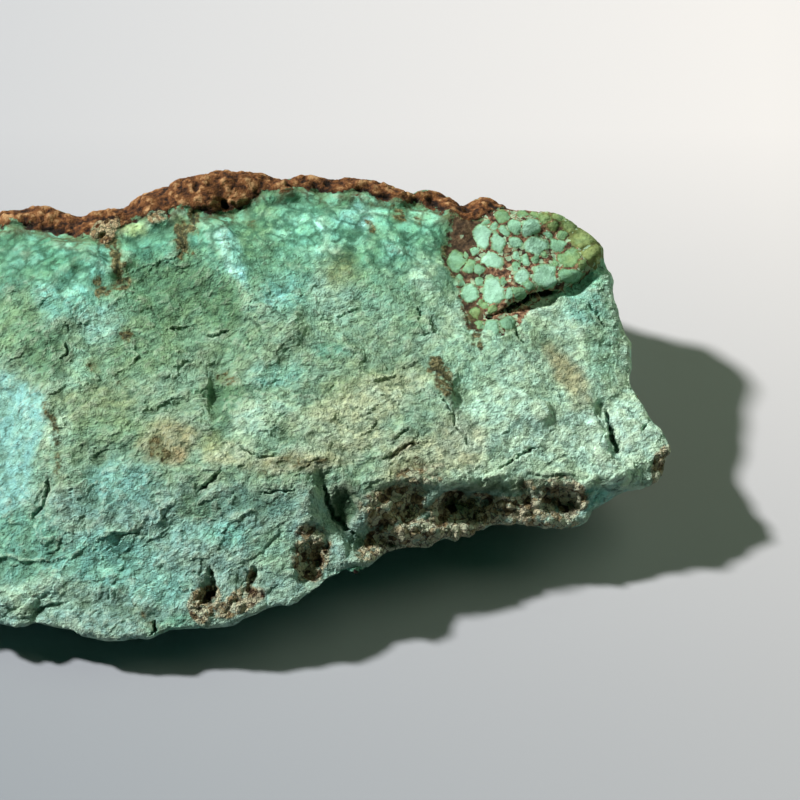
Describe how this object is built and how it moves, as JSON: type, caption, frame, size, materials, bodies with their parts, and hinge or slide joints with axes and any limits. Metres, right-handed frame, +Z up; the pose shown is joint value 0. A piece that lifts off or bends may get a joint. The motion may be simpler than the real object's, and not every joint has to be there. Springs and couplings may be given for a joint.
{
  "type": "raw turquoise nugget",
  "caption": "Raw turquoise nugget: a broken slab of blue-green stone with a brown lumpy crust along its back and a dark-veined corner, resting on a flat break in its underside.",
  "frame": {"origin": "middle of the bounding box's bottom, on the flat break that the stone rests on", "axes": "+X along the stone's length towards its narrow nose, +Y towards the crusted back, +Z up through the slab's thickness"},
  "size_m": [0.0634, 0.0388, 0.0143],
  "materials": {
    "turquoise": "rough, chalky broken surface with a matt brown crust"
  },
  "bodies": {
    "root": {"turquoise_nugget": "turquoise"}
  },
  "joints": []
}
